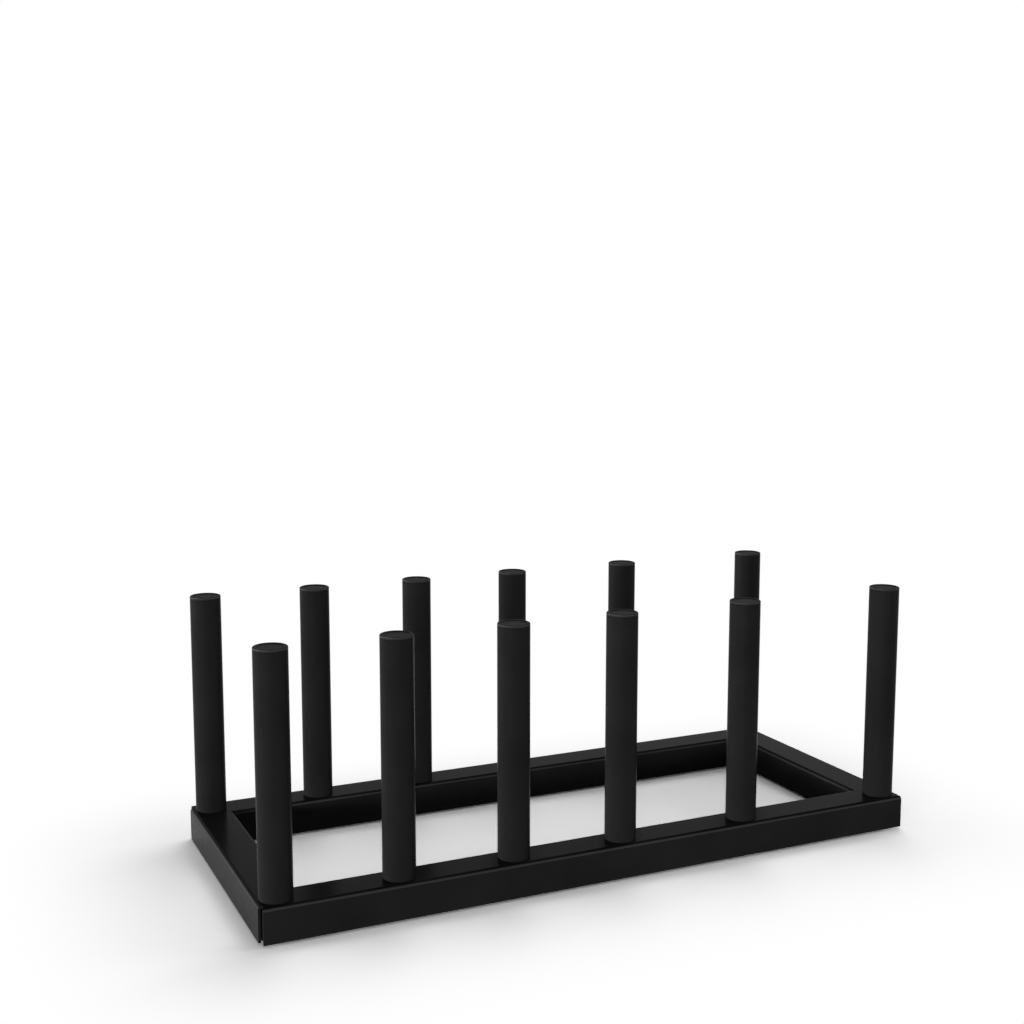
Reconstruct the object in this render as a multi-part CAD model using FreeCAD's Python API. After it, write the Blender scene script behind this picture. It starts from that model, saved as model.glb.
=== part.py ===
"""Pot lid rack: a low frame of folded sheet rails that carries two rows of upright posts.

Lids stand on edge in the slots between neighbouring posts and rest on the rails.
Lengths are in millimetres. The origin is on the floor under the middle of the rack.
+X runs along the rack towards its widest slot, -Y is the front and +Z is up.
"""
import FreeCAD, Part
import math
import os

from FreeCAD import Vector

# Slots between the posts, measured from post centre to post centre
narrow_slot_pitch = 44.6
narrow_slot_count = 3
middle_slot_pitch = 54.6
wide_slot_pitch = 68.0
row_spacing = 97.6

# Rails: sheet folded into a channel that is open underneath
rail_width = 15.0
rail_height = 13.0
sheet_thickness = 1.0
inner_bend_radius = 0.5
floor_gap = 1.0

# Corners of the frame: mitred tops, and outer flanges that stop short of each other
mitre_gap = 0.2
long_flange_setback = 1.0
end_flange_setback = 3.0

# Posts: round tube with the cut edges broken
post_diameter = 12.0
post_wall = 1.0
post_length = 86.4
post_edge_break = 0.2

# Caps: moulded inserts that close the tops of the posts, with a rim round a shallow dish
cap_head_thickness = 1.1
cap_rim_width = 1.1
cap_rim_radius = 0.5
cap_dish_depth = 0.35
cap_dish_slope = 0.35
cap_edge_break = 0.2
cap_shank_length = 8.0
cap_shank_wall = 1.2
cap_side_gap = 0.1
cap_lead_in = 0.6

# Thread plugs: pressed into the feet of the posts
plug_length = 14.0
plug_side_gap = 0.05
plug_lead_in = 0.8

# Screws: button heads with a hexagon socket, driven upwards into the thread plugs
screw_diameter = 5.0
screw_length = 12.0
screw_tip_chamfer = 0.5
screw_head_diameter = 9.5
screw_head_height = 2.75
screw_head_rim = 0.7
hex_across_flats = 3.0
hex_depth = 1.8
thread_gap = 0.05
screw_hole_gap = 0.25

# Corner brackets: flat angles under the rails, clamped by the corner posts' screws
bracket_thickness = 2.0
bracket_leg_length = 25.0
bracket_side_gap = 0.1
bracket_end_radius = 3.0

# Feet: rubber plugs in the corners, pushed over the heads of the corner screws
foot_side_gap = 0.2
foot_recess_gap = 0.1
foot_edge_chamfer = 0.8

# Worked out from the sizes above
slot_pitches = [narrow_slot_pitch] * narrow_slot_count + [middle_slot_pitch, wide_slot_pitch]
row_length = sum(slot_pitches)
frame_length = row_length + rail_width
frame_depth = row_spacing + rail_width
outer_bend_radius = inner_bend_radius + sheet_thickness
channel_width = rail_width - 2 * sheet_thickness
rail_top = floor_gap + rail_height
plate_underside = rail_top - sheet_thickness
bracket_underside = plate_underside - bracket_thickness
post_top = rail_top + post_length
post_radius = post_diameter / 2
bore_radius = post_radius - post_wall
screw_hole_radius = screw_diameter / 2 + screw_hole_gap

UP = Vector(0, 0, 1)
ORIGIN = Vector(0, 0, 0)


def post_places():
    """Distance of each post in a row from the middle of the rack, from left to right."""
    places = [-row_length / 2]
    for pitch in slot_pitches:
        places.append(places[-1] + pitch)
    return places


def rounded_outline(corners):
    """Closed flat wire through (x, y, radius) corners; a radius of 0 leaves a sharp corner."""
    points = [Vector(x, y, 0) for x, y, radius in corners]
    arrivals = []
    middles = []
    departures = []
    for index, (x, y, radius) in enumerate(corners):
        point = points[index]
        back = (points[index - 1] - point).normalize()
        ahead = (points[(index + 1) % len(points)] - point).normalize()
        half_angle = back.getAngle(ahead) / 2
        tangent_length = radius / math.tan(half_angle)
        arrivals.append(point + back * tangent_length)
        middles.append(point + (back + ahead).normalize() * (radius / math.sin(half_angle) - radius))
        departures.append(point + ahead * tangent_length)
    edges = []
    for index, departure in enumerate(departures):
        if departure != arrivals[index]:
            edges.append(Part.Arc(arrivals[index], middles[index], departure).toShape())
        edges.append(Part.makeLine(departure, arrivals[(index + 1) % len(arrivals)]))
    return Part.Wire(edges)


def extruded(corners, bottom, top):
    """Upright prism between two heights over a plan outline."""
    face = Part.Face(rounded_outline(corners))
    return face.extrude(Vector(0, 0, top - bottom)).translated(Vector(0, 0, bottom))


def turned(corners):
    """Solid of revolution about Z from a half outline given as (radius, height, rounding)."""
    face = Part.Face(rounded_outline(corners))
    face.rotate(ORIGIN, Vector(1, 0, 0), 90)
    return face.revolve(ORIGIN, UP, 360)


def cylinder(radius, bottom, top, x=0.0):
    """Upright cylinder between two heights, at a place along the X axis."""
    return Part.makeCylinder(radius, top - bottom, Vector(x, 0, bottom))


def channel_bar(length):
    """Straight channel along X with its top plate up, before its ends are cut."""
    half = rail_width / 2
    inside = channel_width / 2
    section = [
        (-half, 0, 0),
        (-half, rail_height, outer_bend_radius),
        (half, rail_height, outer_bend_radius),
        (half, 0, 0),
        (inside, 0, 0),
        (inside, rail_height - sheet_thickness, inner_bend_radius),
        (-inside, rail_height - sheet_thickness, inner_bend_radius),
        (-inside, 0, 0),
    ]
    face = Part.Face(rounded_outline(section))
    face.rotate(ORIGIN, Vector(1, 0, 0), 90)
    face.rotate(ORIGIN, UP, 90)
    face.translate(Vector(-length / 2, 0, floor_gap))
    return face.extrude(Vector(length, 0, 0))


def rail(length, hole_places, flange_setback):
    """One rail along X with its outer flange at -Y.

    Its ends are mitred at 45 degrees, its outer bend and flange stop short of each end,
    and it has a screw hole under each post. The end holes lie half in each of two rails.
    """
    half_width = rail_width / 2
    half_length = length / 2 - mitre_gap / math.sqrt(2)
    mitred_plan = [
        (-half_length, -half_width, 0),
        (half_length, -half_width, 0),
        (half_length - rail_width, half_width, 0),
        (-half_length + rail_width, half_width, 0),
    ]
    body = channel_bar(length).common(extruded(mitred_plan, 0, rail_top))
    cuts = []
    for side in (-1, 1):
        corner = side * length / 2
        relief_start = corner - side * flange_setback
        relief_plan = [
            (relief_start, -half_width, 0),
            (corner, -half_width, 0),
            (corner, -half_width + outer_bend_radius, 0),
            (relief_start, -half_width + outer_bend_radius, 0),
        ]
        cuts.append(extruded(relief_plan, 0, rail_top))
    for place in hole_places:
        cuts.append(cylinder(screw_hole_radius, 0, rail_top, place))
    return body.cut(cuts)


def make_rails():
    """The four rails of the frame. The back row lines up with the front row."""
    places = post_places()
    mirrored_places = [-place for place in places]
    end_places = [-row_spacing / 2, row_spacing / 2]
    front = rail(frame_length, places, long_flange_setback)
    back = rail(frame_length, mirrored_places, long_flange_setback)
    end = rail(frame_depth, end_places, end_flange_setback)
    return {
        "front_rail": front.translated(Vector(0, -row_spacing / 2, 0)),
        "back_rail": back.rotated(ORIGIN, UP, 180).translated(Vector(0, row_spacing / 2, 0)),
        "left_end_rail": end.rotated(ORIGIN, UP, -90).translated(Vector(-row_length / 2, 0, 0)),
        "right_end_rail": end.rotated(ORIGIN, UP, 90).translated(Vector(row_length / 2, 0, 0)),
    }


def make_post():
    """Round tube that stands on a rail's top plate."""
    return turned([
        (bore_radius, rail_top, 0),
        (post_radius - post_edge_break, rail_top, 0),
        (post_radius, rail_top + post_edge_break, 0),
        (post_radius, post_top - post_edge_break, 0),
        (post_radius - post_edge_break, post_top, 0),
        (bore_radius, post_top, 0),
    ])


def make_cap():
    """Insert whose dished head covers the end of the tube, with a hollow shank in the bore."""
    shank_radius = bore_radius - cap_side_gap
    hollow_radius = shank_radius - cap_shank_wall
    dish_radius = post_radius - cap_rim_width
    head_top = post_top + cap_head_thickness
    dish_floor = head_top - cap_dish_depth
    shank_end = post_top - cap_shank_length
    return turned([
        (0, post_top, 0),
        (hollow_radius, post_top, 0),
        (hollow_radius, shank_end, 0),
        (shank_radius - cap_lead_in, shank_end, 0),
        (shank_radius, shank_end + cap_lead_in, 0),
        (shank_radius, post_top, 0),
        (post_radius - cap_edge_break, post_top, 0),
        (post_radius, post_top + cap_edge_break, 0),
        (post_radius, head_top, cap_rim_radius),
        (dish_radius, head_top, 0),
        (dish_radius - cap_dish_slope, dish_floor, 0),
        (0, dish_floor, 0),
    ])


def make_thread_plug():
    """Threaded plug in the foot of the tube, which rests on the rail with the tube."""
    plug_radius = bore_radius - plug_side_gap
    thread_radius = screw_diameter / 2 + thread_gap
    plug_top = rail_top + plug_length
    return turned([
        (thread_radius, rail_top, 0),
        (plug_radius, rail_top, 0),
        (plug_radius, plug_top - plug_lead_in, 0),
        (plug_radius - plug_lead_in, plug_top, 0),
        (thread_radius, plug_top, 0),
    ])


def make_screw(seat):
    """Screw that points up, with the upper face of its head at the seat height."""
    shank_radius = screw_diameter / 2
    head_radius = screw_head_diameter / 2
    head_bottom = seat - screw_head_height
    tip = seat + screw_length
    body = turned([
        (0, head_bottom, 0),
        (head_radius, head_bottom, screw_head_height - screw_head_rim),
        (head_radius, seat, 0),
        (shank_radius, seat, 0),
        (shank_radius, tip - screw_tip_chamfer, 0),
        (shank_radius - screw_tip_chamfer, tip, 0),
        (0, tip, 0),
    ])
    hex_radius = hex_across_flats / 2 / math.cos(math.pi / 6)
    hexagon = []
    for step in range(6):
        angle = step * math.pi / 3
        hexagon.append((hex_radius * math.cos(angle), hex_radius * math.sin(angle), 0))
    return body.cut(extruded(hexagon, head_bottom, head_bottom + hex_depth))


def make_corner_bracket():
    """Flat angle round a corner post's screw, with legs along +X and +Y inside the rails."""
    half_leg = channel_width / 2 - inner_bend_radius - bracket_side_gap
    plan = [
        (-half_leg, -half_leg, bracket_end_radius),
        (bracket_leg_length, -half_leg, bracket_end_radius),
        (bracket_leg_length, half_leg, bracket_end_radius),
        (half_leg, half_leg, 0),
        (half_leg, bracket_leg_length, bracket_end_radius),
        (-half_leg, bracket_leg_length, bracket_end_radius),
    ]
    plate = extruded(plan, bracket_underside, plate_underside)
    return plate.cut(cylinder(screw_hole_radius, bracket_underside, plate_underside))


def make_foot():
    """Round rubber foot from the floor to the bracket, recessed for the screw's head."""
    foot_radius = channel_width / 2 - foot_side_gap
    recess_radius = screw_head_diameter / 2 + foot_recess_gap
    recess_bottom = bracket_underside - screw_head_height - foot_recess_gap
    return turned([
        (0, 0, 0),
        (foot_radius - foot_edge_chamfer, 0, 0),
        (foot_radius, foot_edge_chamfer, 0),
        (foot_radius, bracket_underside, 0),
        (recess_radius, bracket_underside, 0),
        (recess_radius, recess_bottom, 0),
        (0, recess_bottom, 0),
    ])


def make_row(row, y):
    """The posts of one row, each with its cap and thread plug, and the row's screws."""
    pieces = {}
    screws = []
    places = post_places()
    post = make_post()
    cap = make_cap()
    plug = make_thread_plug()
    for number, x in enumerate(places, start=1):
        place = Vector(x, y, 0)
        pieces[f"post_{row}_{number}"] = post.translated(place)
        pieces[f"cap_{row}_{number}"] = cap.translated(place)
        pieces[f"thread_plug_{row}_{number}"] = plug.translated(place)
        at_corner = x in (places[0], places[-1])
        seat = bracket_underside if at_corner else plate_underside
        screws.append(make_screw(seat).translated(place))
    pieces[f"screws_{row}"] = Part.makeCompound(screws)
    return pieces


def make_corners():
    """A bracket and a foot under each corner post."""
    pieces = {}
    bracket = make_corner_bracket()
    foot = make_foot()
    corners = [
        ("front_left", -1, -1, 0),
        ("front_right", 1, -1, 90),
        ("back_right", 1, 1, 180),
        ("back_left", -1, 1, 270),
    ]
    for name, side_x, side_y, turn in corners:
        place = Vector(side_x * row_length / 2, side_y * row_spacing / 2, 0)
        pieces[f"corner_bracket_{name}"] = bracket.rotated(ORIGIN, UP, turn).translated(place)
        pieces[f"foot_{name}"] = foot.translated(place)
    return pieces


def build():
    """Every piece of the rack by its node name."""
    nodes = make_rails()
    nodes.update(make_row("front", -row_spacing / 2))
    nodes.update(make_row("back", row_spacing / 2))
    nodes.update(make_corners())
    return nodes


os.makedirs("parts", exist_ok=True)
for node, shape in build().items():
    shape.exportStep(f"parts/{node}.step")
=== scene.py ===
"""Looks of a pot lid rack: its finishes, its studio and the camera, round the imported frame.

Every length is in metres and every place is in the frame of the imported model: the origin is
on the floor under the middle of the rack, +X runs along it, -Y is its front and +Z is up.
"""

import logging
import math
from dataclasses import dataclass
from enum import Enum
from typing import Any

import bpy
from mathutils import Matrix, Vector


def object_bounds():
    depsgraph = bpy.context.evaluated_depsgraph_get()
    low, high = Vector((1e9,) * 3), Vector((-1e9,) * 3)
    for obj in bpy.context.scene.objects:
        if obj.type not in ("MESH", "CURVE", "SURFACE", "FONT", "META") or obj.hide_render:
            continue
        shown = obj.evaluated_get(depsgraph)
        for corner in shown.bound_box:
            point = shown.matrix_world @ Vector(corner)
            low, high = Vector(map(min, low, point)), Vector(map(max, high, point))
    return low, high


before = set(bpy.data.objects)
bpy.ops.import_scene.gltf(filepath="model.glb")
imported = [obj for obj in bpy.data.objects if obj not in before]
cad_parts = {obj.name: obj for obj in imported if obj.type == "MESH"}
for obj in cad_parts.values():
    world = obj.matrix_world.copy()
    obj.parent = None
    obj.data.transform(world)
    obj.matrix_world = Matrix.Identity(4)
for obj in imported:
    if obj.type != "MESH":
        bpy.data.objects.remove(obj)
CAD_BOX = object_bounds()

MILLIMETRE = 0.001
RIGHT_ANGLE = math.pi / 2
OPAQUE = 1.0
WHITE = (1.0, 1.0, 1.0, OPAQUE)

# Noise seldom leaves this range, so a finish spreads its tones and its gloss over it.
NOISE_LOW = 0.3
NOISE_HIGH = 0.7

Colour = tuple[float, float, float]
Place = tuple[float, float, float]
Socket = bpy.types.NodeSocket

ORIGIN: Place = (0.0, 0.0, 0.0)

LOG = logging.getLogger("lid_rack")


class Row(Enum):
    """The two rows of posts."""

    FRONT = "front"
    BACK = "back"


class Corner(Enum):
    """The four corners of the base frame."""

    FRONT_LEFT = "front_left"
    FRONT_RIGHT = "front_right"
    BACK_RIGHT = "back_right"
    BACK_LEFT = "back_left"


class Rail(Enum):
    """The four rails of the base frame, by node name."""

    FRONT = "front_rail"
    BACK = "back_rail"
    LEFT_END = "left_end_rail"
    RIGHT_END = "right_end_rail"


class Sum(Enum):
    """The sums that a node tree does on single values."""

    LARGER = "MAXIMUM"
    PRODUCT = "MULTIPLY"
    RATIO = "DIVIDE"


class PlaceSum(Enum):
    """The sums that a node tree does on places."""

    FOLDED_OVER = "ABSOLUTE"
    LARGER = "MAXIMUM"
    LENGTH = "LENGTH"
    REMAINDER = "SUBTRACT"


class Graph:
    """A node tree, with short ways to add nodes and join them."""

    def __init__(self, tree: bpy.types.NodeTree) -> None:
        """Takes a node tree over and empties it.

        Args:
            tree: the tree of a material or of the world.
        """
        self.tree = tree
        self.tree.nodes.clear()

    def node(self, kind: str, **settings: Any) -> bpy.types.Node:
        """Adds one node.

        Args:
            kind: the node's type name.
            settings: values for the node's own properties.

        Returns:
            The new node.
        """
        made = self.tree.nodes.new(kind)
        for name, value in settings.items():
            setattr(made, name, value)
        return made

    def join(self, source: Socket, target: Socket) -> None:
        """Links an output socket to an input socket."""
        self.tree.links.new(source, target)

    def combine(self, how: Sum, first: Socket, second: Socket | float) -> Socket:
        """Does a sum on two values.

        Args:
            how: the sum.
            first: the first value.
            second: the second value, or a fixed number in its place.

        Returns:
            The result.
        """
        made = self.node("ShaderNodeMath", operation=how.value)
        self.join(first, made.inputs[0])
        if isinstance(second, float):
            made.inputs[1].default_value = second
        else:
            self.join(second, made.inputs[1])
        return made.outputs["Value"]

    def span(self, value: Socket, low: float, high: float,
             start: float = 0.0, end: float = 1.0) -> Socket:
        """Maps one range of a value onto another, and holds it at both ends.

        Args:
            value: the value.
            low: result at the range's start.
            high: result at the range's end.
            start: the value that gives the low result.
            end: the value that gives the high result.

        Returns:
            The mapped value.
        """
        mapped = self.node("ShaderNodeMapRange")
        mapped.inputs["From Min"].default_value = start
        mapped.inputs["From Max"].default_value = end
        mapped.inputs["To Min"].default_value = low
        mapped.inputs["To Max"].default_value = high
        self.join(value, mapped.inputs["Value"])
        return mapped.outputs["Result"]

    def seen(self) -> Socket:
        """Tells the rays that show a surface from the rays that are lit by it.

        Returns:
            1 where it is seen, straight on or in gloss or glass, and 0 where it lights.
        """
        rays = self.node("ShaderNodeLightPath").outputs
        mirrored = self.combine(Sum.LARGER, rays["Is Glossy Ray"], rays["Is Transmission Ray"])
        return self.combine(Sum.LARGER, rays["Is Camera Ray"], mirrored)


class Recipe(Graph):
    """A material that is being made up from patterns, tones and relief."""

    def __init__(self, name: str) -> None:
        """Starts an empty material.

        Args:
            name: the material's name.
        """
        self.material = bpy.data.materials.new(name)
        self.material.use_nodes = True
        super().__init__(self.material.node_tree)
        self.output = self.node("ShaderNodeOutputMaterial")

    def place(self) -> Socket:
        """Returns the surface's place in the rack's own frame, in metres."""
        return self.node("ShaderNodeTexCoord").outputs["Object"]

    def noise(self, size: float, detail: float, fineness: float = 0.5) -> Socket:
        """Adds a noise pattern in the rack's frame.

        Args:
            size: length of one blob, in metres.
            detail: octaves of finer noise.
            fineness: weight of the finer octaves.

        Returns:
            The pattern's value, about 0.5 on average.
        """
        pattern = self.node("ShaderNodeTexNoise")
        pattern.inputs["Scale"].default_value = 1.0 / size
        pattern.inputs["Detail"].default_value = detail
        pattern.inputs["Roughness"].default_value = fineness
        self.join(self.place(), pattern.inputs["Vector"])
        return pattern.outputs["Fac"]

    def spread(self, pattern: Socket, low: float, high: float) -> Socket:
        """Spreads a noise pattern over a range of values.

        Args:
            pattern: the noise pattern.
            low: value in the pattern's lows.
            high: value in its highs.

        Returns:
            The spread pattern.
        """
        return self.span(pattern, low, high, NOISE_LOW, NOISE_HIGH)

    def blend(self, pattern: Socket, dark: Colour, light: Colour) -> Socket:
        """Mixes two tones by a noise pattern.

        Args:
            pattern: the noise pattern.
            dark: tone in the pattern's lows.
            light: tone in its highs.

        Returns:
            The mixed tone.
        """
        mix = self.node("ShaderNodeMix", data_type="RGBA")
        mix.inputs["A"].default_value = (*dark, OPAQUE)
        mix.inputs["B"].default_value = (*light, OPAQUE)
        self.join(self.spread(pattern, 0.0, 1.0), mix.inputs["Factor"])
        return mix.outputs["Result"]

    def scaled(self, tone: Socket, factor: Socket) -> Socket:
        """Makes a tone lighter or darker.

        Args:
            tone: the tone.
            factor: what it is multiplied by.

        Returns:
            The changed tone.
        """
        times = self.node("ShaderNodeVectorMath", operation="SCALE")
        self.join(tone, times.inputs["Vector"])
        self.join(factor, times.inputs["Scale"])
        return times.outputs["Vector"]

    def combine_places(self, how: PlaceSum, place: Socket, other: Place = ORIGIN) -> bpy.types.Node:
        """Does a sum on a place.

        Args:
            how: the sum.
            place: the place.
            other: the fixed place that the sum may need.

        Returns:
            The node that does it.
        """
        made = self.node("ShaderNodeVectorMath", operation=how.value)
        made.inputs[1].default_value = other
        self.join(place, made.inputs[0])
        return made

    def relief(self, height: Socket, depth: float, below: Socket | None = None) -> Socket:
        """Turns a pattern into bumps.

        Args:
            height: the pattern.
            depth: height of its bumps, in metres.
            below: normal of a coarser relief that this one lies on.

        Returns:
            The bumped normal.
        """
        bump = self.node("ShaderNodeBump")
        bump.inputs["Distance"].default_value = depth
        self.join(height, bump.inputs["Height"])
        if below is not None:
            self.join(below, bump.inputs["Normal"])
        return bump.outputs["Normal"]

    def surface(self, tone: Socket, roughness: Socket, normal: Socket,
                metallic: float = 0.0, specular: float = 0.5) -> bpy.types.Material:
        """Finishes the material with the surface shader.

        Args:
            tone: the base colour.
            roughness: how dull the surface is.
            normal: the relief's normal.
            metallic: 1 for bare metal.
            specular: strength of the mirror-like part of a coat or plastic.

        Returns:
            The finished material.
        """
        shader = self.node("ShaderNodeBsdfPrincipled")
        shader.inputs["Metallic"].default_value = metallic
        shader.inputs["Specular IOR Level"].default_value = specular
        self.join(tone, shader.inputs["Base Color"])
        self.join(roughness, shader.inputs["Roughness"])
        self.join(normal, shader.inputs["Normal"])
        self.join(shader.outputs["BSDF"], self.output.inputs["Surface"])
        return self.material


@dataclass(frozen=True)
class PaintedFoldShading:
    """Painted highlight and shade on folds and rims: their tone follows their slope, upright to
    level.

    Each stop pairs the height of the surface's normal, 0 on an upright face and 1 on a level one,
    with the shade there. The neutral shade leaves the tone as it is.
    """

    neutral: float = 0.35
    # painted highlight from a normal height of 0.28 to 0.50, painted dark line from 0.84 to 0.94
    stops: tuple[tuple[float, float], ...] = (
        (0.0, 0.35), (0.12, 0.35), (0.28, 1.0), (0.50, 1.0),
        (0.70, 0.35), (0.84, 0.09), (0.94, 0.09), (0.99, 0.35),
    )

    def factor(self, recipe: Recipe) -> Socket:
        """Adds the nodes that turn the slope into a factor for the tone, the painted highlight and
        shade.

        Args:
            recipe: the material that the nodes belong to.

        Returns:
            The factor, which is 1 on upright and level faces.
        """
        slope = recipe.node("ShaderNodeSeparateXYZ")
        facing = recipe.node("ShaderNodeNewGeometry")
        recipe.join(facing.outputs["Normal"], slope.inputs["Vector"])
        ramp = recipe.node("ShaderNodeValToRGB")
        elements = ramp.color_ramp.elements
        elements.remove(elements[-1])
        for index, (height, shade) in enumerate(self.stops):
            element = elements[0] if index == 0 else elements.new(height)
            element.position = height
            element.color = (shade, shade, shade, OPAQUE)
        recipe.join(slope.outputs["Z"], ramp.inputs["Fac"])
        return recipe.combine(Sum.RATIO, ramp.outputs["Color"], self.neutral)


@dataclass(frozen=True)
class PowderCoat:
    """Satin black powder coat: smooth skin, a trace of orange peel, faint clouds, painted shading
    on folds.
    """

    name: str = "black_powder_coat"
    tone_dark: Colour = (0.0095, 0.0095, 0.0097)
    tone_light: Colour = (0.0125, 0.0125, 0.0127)
    # painted highlight and painted shade on the folds, set by their slope
    fold_painted_light: PaintedFoldShading = PaintedFoldShading()
    specular: float = 0.008
    roughness_low: float = 0.20
    roughness_high: float = 0.26
    cloud_size: float = 22 * MILLIMETRE
    cloud_detail: float = 3.0
    peel_size: float = 2.2 * MILLIMETRE
    peel_detail: float = 1.0
    peel_depth: float = 0.004 * MILLIMETRE
    grain_size: float = 0.25 * MILLIMETRE
    grain_detail: float = 0.0
    grain_depth: float = 0.0004 * MILLIMETRE

    def material(self) -> bpy.types.Material:
        """Makes up the coat.

        Returns:
            The finished material.
        """
        recipe = Recipe(self.name)
        clouds = recipe.noise(self.cloud_size, self.cloud_detail)
        peel = recipe.noise(self.peel_size, self.peel_detail)
        grain = recipe.noise(self.grain_size, self.grain_detail)
        tone = recipe.blend(clouds, self.tone_dark, self.tone_light)
        skin = recipe.relief(peel, self.peel_depth)
        return recipe.surface(
            # the tone carries the folds' painted highlight and shade
            tone=recipe.scaled(tone, self.fold_painted_light.factor(recipe)),
            roughness=recipe.spread(peel, self.roughness_low, self.roughness_high),
            normal=recipe.relief(grain, self.grain_depth, skin),
            specular=self.specular,
        )


@dataclass(frozen=True)
class MouldedPlastic:
    """Matte charcoal plastic with the fine spark-eroded texture of its mould, and painted shading
    on rims.
    """

    name: str = "cap_plastic"
    tone_dark: Colour = (0.017, 0.017, 0.0173)
    tone_light: Colour = (0.021, 0.021, 0.0213)
    # painted highlight and painted shade round the cap rims, set by their slope
    rim_painted_light: PaintedFoldShading = PaintedFoldShading()
    specular: float = 0.02
    roughness_low: float = 0.55
    roughness_high: float = 0.68
    cloud_size: float = 4 * MILLIMETRE
    cloud_detail: float = 2.0
    texture_size: float = 0.14 * MILLIMETRE
    texture_detail: float = 1.0
    texture_fineness: float = 0.6
    texture_depth: float = 0.006 * MILLIMETRE

    def material(self) -> bpy.types.Material:
        """Makes up the plastic.

        Returns:
            The finished material.
        """
        recipe = Recipe(self.name)
        clouds = recipe.noise(self.cloud_size, self.cloud_detail)
        texture = recipe.noise(self.texture_size, self.texture_detail, self.texture_fineness)
        tone = recipe.blend(clouds, self.tone_dark, self.tone_light)
        return recipe.surface(
            # the tone carries the rims' painted highlight and shade
            tone=recipe.scaled(tone, self.rim_painted_light.factor(recipe)),
            roughness=recipe.spread(texture, self.roughness_low, self.roughness_high),
            normal=recipe.relief(texture, self.texture_depth),
            specular=self.specular,
        )


@dataclass(frozen=True)
class ZincPlate:
    """Bright zinc plate on steel: cool grey, with cloudy tone and fine rolling marks."""

    name: str = "zinc_steel"
    tone_dark: Colour = (0.42, 0.44, 0.47)
    tone_light: Colour = (0.60, 0.62, 0.64)
    metallic: float = 1.0
    roughness_low: float = 0.24
    roughness_high: float = 0.40
    cloud_size: float = 3 * MILLIMETRE
    cloud_detail: float = 4.0
    cloud_fineness: float = 0.6
    mark_size: float = 0.25 * MILLIMETRE
    mark_detail: float = 2.0
    mark_depth: float = 0.003 * MILLIMETRE

    def material(self) -> bpy.types.Material:
        """Makes up the plate.

        Returns:
            The finished material.
        """
        recipe = Recipe(self.name)
        clouds = recipe.noise(self.cloud_size, self.cloud_detail, self.cloud_fineness)
        marks = recipe.noise(self.mark_size, self.mark_detail)
        return recipe.surface(
            tone=recipe.blend(clouds, self.tone_dark, self.tone_light),
            roughness=recipe.spread(clouds, self.roughness_low, self.roughness_high),
            normal=recipe.relief(marks, self.mark_depth),
            metallic=self.metallic,
        )


@dataclass(frozen=True)
class Rubber:
    """Black moulded rubber: dull, with a faint bloom and a fine dimpled skin."""

    name: str = "foot_rubber"
    tone_dark: Colour = (0.010, 0.010, 0.010)
    tone_light: Colour = (0.020, 0.020, 0.021)
    specular: float = 0.3
    roughness_low: float = 0.70
    roughness_high: float = 0.85
    bloom_size: float = 2.5 * MILLIMETRE
    bloom_detail: float = 3.0
    dimple_size: float = 0.3 * MILLIMETRE
    dimple_detail: float = 1.0
    dimple_depth: float = 0.01 * MILLIMETRE

    def material(self) -> bpy.types.Material:
        """Makes up the rubber.

        Returns:
            The finished material.
        """
        recipe = Recipe(self.name)
        bloom = recipe.noise(self.bloom_size, self.bloom_detail)
        dimples = recipe.noise(self.dimple_size, self.dimple_detail)
        return recipe.surface(
            tone=recipe.blend(bloom, self.tone_dark, self.tone_light),
            roughness=recipe.spread(bloom, self.roughness_low, self.roughness_high),
            normal=recipe.relief(dimples, self.dimple_depth),
            specular=self.specular,
        )


@dataclass(frozen=True)
class PaleFloor:
    """White floor that keeps the rack's soft shadow and turns plain white further out."""

    name: str = "pale_floor"
    tone_dark: Colour = (0.54, 0.54, 0.54)
    tone_light: Colour = (0.56, 0.56, 0.56)
    cloud_size: float = 0.4
    cloud_detail: float = 2.0
    lit_gain: float = 1.0
    seen_gain: float = 3.4
    fade_start: float = 0.0
    fade_end: float = 0.08

    def material(self) -> bpy.types.Material:
        """Makes up the floor, lighter to the eye than it is to the rack that it lights.

        Returns:
            The finished material.
        """
        recipe = Recipe(self.name)
        clouds = recipe.noise(self.cloud_size, self.cloud_detail)
        tone = recipe.blend(clouds, self.tone_dark, self.tone_light)
        seen = recipe.seen()
        gain = recipe.span(seen, self.lit_gain, self.seen_gain)
        matte = recipe.node("ShaderNodeBsdfDiffuse")
        recipe.join(recipe.scaled(tone, gain), matte.inputs["Color"])
        plain = recipe.node("ShaderNodeEmission")
        plain.inputs["Color"].default_value = WHITE
        either = recipe.node("ShaderNodeMixShader")
        faded = recipe.combine(Sum.PRODUCT, self.distance(recipe), seen)
        recipe.join(faded, either.inputs["Fac"])
        recipe.join(matte.outputs["BSDF"], either.inputs[1])
        recipe.join(plain.outputs["Emission"], either.inputs[2])
        recipe.join(either.outputs["Shader"], recipe.output.inputs["Surface"])
        return recipe.material

    def distance(self, recipe: Recipe) -> Socket:
        """Measures how far the floor lies from the rack's outline.

        Args:
            recipe: the material that the nodes belong to.

        Returns:
            0 under the rack, and 1 from the fade's end on.
        """
        quarter = recipe.combine_places(PlaceSum.FOLDED_OVER, recipe.place())
        corner = tuple(CAD_BOX[1])
        beyond = recipe.combine_places(PlaceSum.REMAINDER, quarter.outputs["Vector"], corner)
        outside = recipe.combine_places(PlaceSum.LARGER, beyond.outputs["Vector"])
        length = recipe.combine_places(PlaceSum.LENGTH, outside.outputs["Vector"])
        fade = recipe.node("ShaderNodeMapRange", interpolation_type="SMOOTHSTEP")
        fade.inputs["From Min"].default_value = self.fade_start
        fade.inputs["From Max"].default_value = self.fade_end
        recipe.join(length.outputs["Value"], fade.inputs["Value"])
        return fade.outputs["Result"]


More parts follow.
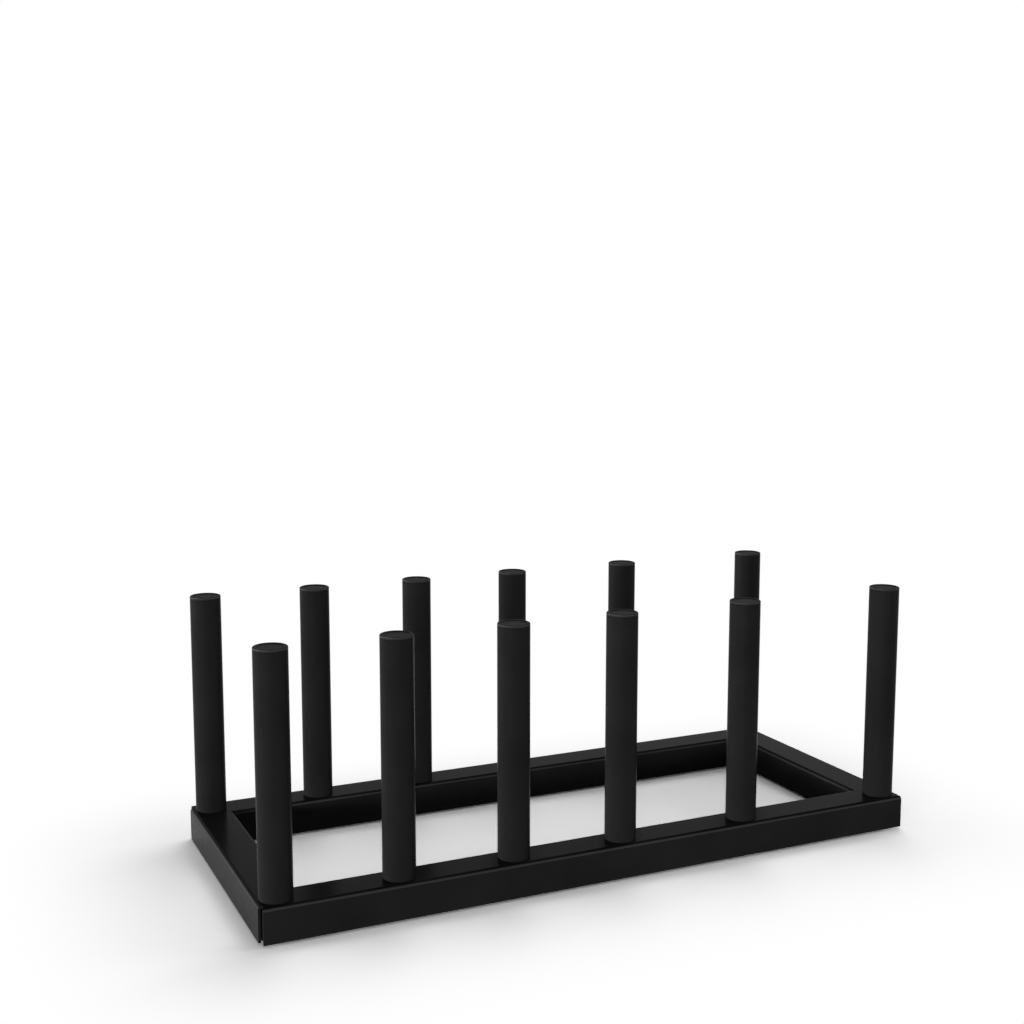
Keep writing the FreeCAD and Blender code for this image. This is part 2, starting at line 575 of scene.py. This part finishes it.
def dress(name: str, material: bpy.types.Material) -> None:
    """Gives a carried-over node its finish.

    Args:
        name: the node's name.
        material: the finish for all of its faces.
    """
    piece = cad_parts[name]
    for slot in piece.material_slots:
        slot.material = material
    LOG.info("dressed %s in %s", name, material.name)


@dataclass(frozen=True)
class BaseFrame:
    """The rectangle of folded rails, with the brackets and feet under its corners."""

    coat: bpy.types.Material
    rubber: bpy.types.Material

    def dress(self) -> None:
        """Gives the rails, the brackets and the feet their finishes."""
        for rail in Rail:
            dress(rail.value, self.coat)
        for corner in Corner:
            dress(f"corner_bracket_{corner.value}", self.coat)
            dress(f"foot_{corner.value}", self.rubber)


@dataclass(frozen=True)
class PostRow:
    """One row of posts, with the cap and the thread plug of each, and the row's screws."""

    row: Row
    coat: bpy.types.Material
    plastic: bpy.types.Material
    plate: bpy.types.Material
    count: int = 6

    def dress(self) -> None:
        """Gives each post, cap, plug and screw its finish."""
        for number in range(1, self.count + 1):
            dress(f"post_{self.row.value}_{number}", self.coat)
            dress(f"cap_{self.row.value}_{number}", self.plastic)
            dress(f"thread_plug_{self.row.value}_{number}", self.plate)
        dress(f"screws_{self.row.value}", self.plate)


@dataclass(frozen=True)
class SoftBox:
    """One rectangular studio lamp that points at the rack, with its power in watts."""

    name: str
    place: Place
    width: float
    height: float
    power: float
    mirrored: bool = True
    aim: Place = (0.0, 0.0, 0.04)

    def build(self) -> None:
        """Makes the lamp, places it and turns it towards its aim."""
        light = bpy.data.lights.new(self.name, "AREA")
        light.shape = "RECTANGLE"
        light.size = self.width
        light.size_y = self.height
        light.energy = self.power
        lamp = bpy.data.objects.new(self.name, light)
        bpy.context.scene.collection.objects.link(lamp)
        lamp.location = self.place
        towards = Vector(self.aim) - Vector(self.place)
        lamp.rotation_euler = towards.to_track_quat("-Z", "Y").to_euler()
        lamp.visible_camera = False
        lamp.visible_glossy = self.mirrored
        LOG.info("lamp %s", self.name)


@dataclass(frozen=True)
class Surroundings:
    """White room that lights the rack weakly, more from the horizon than from above."""

    name: str = "surroundings"
    horizon: float = 0.35
    zenith: float = 0.20
    zenith_height: float = 0.7
    far_left: float = -1.0
    left_gain: float = 0.85
    right_gain: float = 1.0
    seen_strength: float = 1.0

    def build(self) -> None:
        """Makes the room, which shows plain white where it is seen."""
        world = bpy.data.worlds.new(self.name)
        world.use_nodes = True
        graph = Graph(world.node_tree)
        aim = graph.node("ShaderNodeSeparateXYZ")
        direction = graph.node("ShaderNodeTexCoord")
        graph.join(direction.outputs["Generated"], aim.inputs["Vector"])
        dome = graph.span(aim.outputs["Z"], self.horizon, self.zenith, end=self.zenith_height)
        side = graph.span(aim.outputs["X"], self.left_gain, self.right_gain, start=self.far_left)
        strength = graph.node("ShaderNodeMapRange")
        strength.inputs["To Max"].default_value = self.seen_strength
        graph.join(graph.combine(Sum.PRODUCT, dome, side), strength.inputs["To Min"])
        graph.join(graph.seen(), strength.inputs["Value"])
        sky = graph.node("ShaderNodeBackground")
        sky.inputs["Color"].default_value = WHITE
        graph.join(strength.outputs["Result"], sky.inputs["Strength"])
        output = graph.node("ShaderNodeOutputWorld")
        graph.join(sky.outputs["Background"], output.inputs["Surface"])
        bpy.context.scene.world = world
        LOG.info("world %s", self.name)


@dataclass(frozen=True)
class Studio:
    """Plain pale floor, white surroundings and soft lamps."""

    floor_name: str = "floor"
    floor_half: float = 6.0
    surroundings: Surroundings = Surroundings()
    lamps: tuple[SoftBox, ...] = (
        SoftBox("key_left", (-2.72, 1.26, 0.065), width=2.4, height=0.1, power=138.0),
        SoftBox("fill_front", (-2.1, -2.0, 0.14), width=1.6, height=0.2, power=80.0),
        SoftBox("fill_right", (2.6, -0.3, 0.4), width=1.8, height=0.5, power=36.0, mirrored=False),
        SoftBox("top_right", (0.8, 0.8, 2.4), width=1.4, height=1.4, power=14.0),
    )

    def build(self) -> None:
        """Makes the floor, the surroundings and the lamps."""
        self.floor()
        self.surroundings.build()
        for lamp in self.lamps:
            lamp.build()

    def floor(self) -> None:
        """Makes the floor as one flat sheet under the rack."""
        half = self.floor_half
        mesh = bpy.data.meshes.new(self.floor_name)
        corners = [(-half, -half, 0.0), (half, -half, 0.0), (half, half, 0.0), (-half, half, 0.0)]
        mesh.from_pydata(corners, [], [(0, 1, 2, 3)])
        mesh.materials.append(PaleFloor().material())
        sheet = bpy.data.objects.new(self.floor_name, mesh)
        bpy.context.scene.collection.objects.link(sheet)
        LOG.info("stage %s", self.floor_name)


@dataclass(frozen=True)
class ProductCamera:
    """The camera of the product picture: from the front left and a little above."""

    name: str = "product_camera"
    place: Place = (-0.2442, -0.4905, 0.2054)
    turn_degrees: float = 24.845
    dip_degrees: float = 7.481
    lens: float = 48.64
    sensor: float = 36.0
    near: float = 0.02
    far: float = 30.0

    def build(self) -> None:
        """Makes the camera and hands it to the scene."""
        data = bpy.data.cameras.new(self.name)
        data.lens = self.lens
        data.sensor_width = self.sensor
        data.clip_start = self.near
        data.clip_end = self.far
        camera = bpy.data.objects.new(self.name, data)
        bpy.context.scene.collection.objects.link(camera)
        camera.location = self.place
        turn = math.radians(self.turn_degrees)
        dip = math.radians(self.dip_degrees)
        camera.rotation_euler = (RIGHT_ANGLE - dip, 0.0, -turn)
        bpy.context.scene.camera = camera
        LOG.info("camera %s", self.name)


def main() -> None:
    """Dresses the rack's sub-assemblies in order, then builds the studio and the camera."""
    logging.basicConfig(level=logging.INFO, format="%(message)s")
    coat = PowderCoat().material()
    plastic = MouldedPlastic().material()
    plate = ZincPlate().material()
    rubber = Rubber().material()
    BaseFrame(coat, rubber).dress()
    for row in Row:
        PostRow(row, coat, plastic, plate).dress()
    Studio().build()
    ProductCamera().build()
    bpy.context.scene.view_settings.view_transform = "Standard"


if __name__ == "__main__":
    main()
